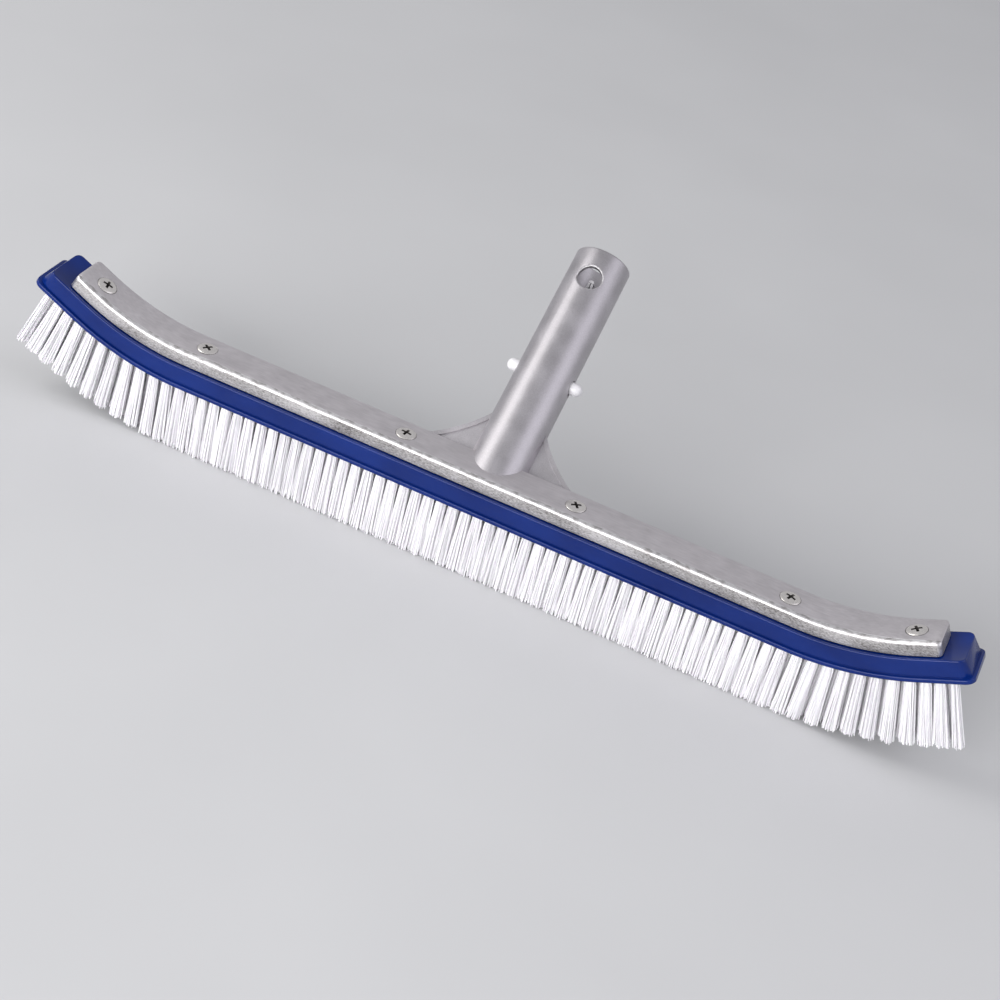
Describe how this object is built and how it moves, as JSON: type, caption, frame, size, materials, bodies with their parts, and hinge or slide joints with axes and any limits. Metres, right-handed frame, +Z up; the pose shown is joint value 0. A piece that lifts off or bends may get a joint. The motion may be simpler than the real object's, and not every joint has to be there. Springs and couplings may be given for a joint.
{
  "type": "pool wall brush",
  "caption": "Curved pool wall brush: one aluminium casting is back bar and pole tube with a spring-pin clip, screwed to a plastic block of nylon tufts.",
  "frame": {"origin": "on the plane of the bristle tips, under the middle of the back bar", "axes": "+X along the brush, +Y towards the side the pole tube leans to, +Z up from the bristle tips to the bar"},
  "size_m": [0.4888, 0.1311, 0.1278],
  "materials": {
    "cast_aluminium": "ground top, shot-blasted sides, satin tube",
    "block_plastic": "semi-gloss royal blue moulding",
    "bristle_nylon": "white nylon filament",
    "screw_steel": "bright stainless",
    "clip_plastic": "satin white moulding"
  },
  "bodies": {
    "brush": {"handle_casting": "cast_aluminium", "brush_block": "block_plastic", "screw_left_outer": "screw_steel", "screw_left_middle": "screw_steel", "screw_left_inner": "screw_steel", "screw_right_inner": "screw_steel", "screw_right_middle": "screw_steel", "screw_right_outer": "screw_steel", "bristles_row1_left": "bristle_nylon", "bristles_row1_middle": "bristle_nylon", "bristles_row1_right": "bristle_nylon", "bristles_row2_left": "bristle_nylon", "bristles_row2_middle": "bristle_nylon", "bristles_row2_right": "bristle_nylon", "bristles_row3_left": "bristle_nylon", "bristles_row3_middle": "bristle_nylon", "bristles_row3_right": "bristle_nylon", "bristles_row4_left": "bristle_nylon", "bristles_row4_middle": "bristle_nylon", "bristles_row4_right": "bristle_nylon", "bristles_row5_left": "bristle_nylon", "bristles_row5_middle": "bristle_nylon", "bristles_row5_right": "bristle_nylon", "clip_bend": "clip_plastic"},
    "left_leg": {"clip_leg_left": "clip_plastic"},
    "right_leg": {"clip_leg_right": "clip_plastic"}
  },
  "joints": [
    {"name": "left_pin_press", "type": "hinge", "parent": "brush", "child": "left_leg", "pos_m": [-0.00075, 0.09653, 0.10767], "axis": [0, -0.5878, 0.809], "range_deg": [0, 6.5], "stiffness_Nm_per_rad": 2},
    {"name": "right_pin_press", "type": "hinge", "parent": "brush", "child": "right_leg", "pos_m": [0.00075, 0.09653, 0.10767], "axis": [0, 0.5878, -0.809], "range_deg": [0, 6.5], "stiffness_Nm_per_rad": 2}
  ]
}
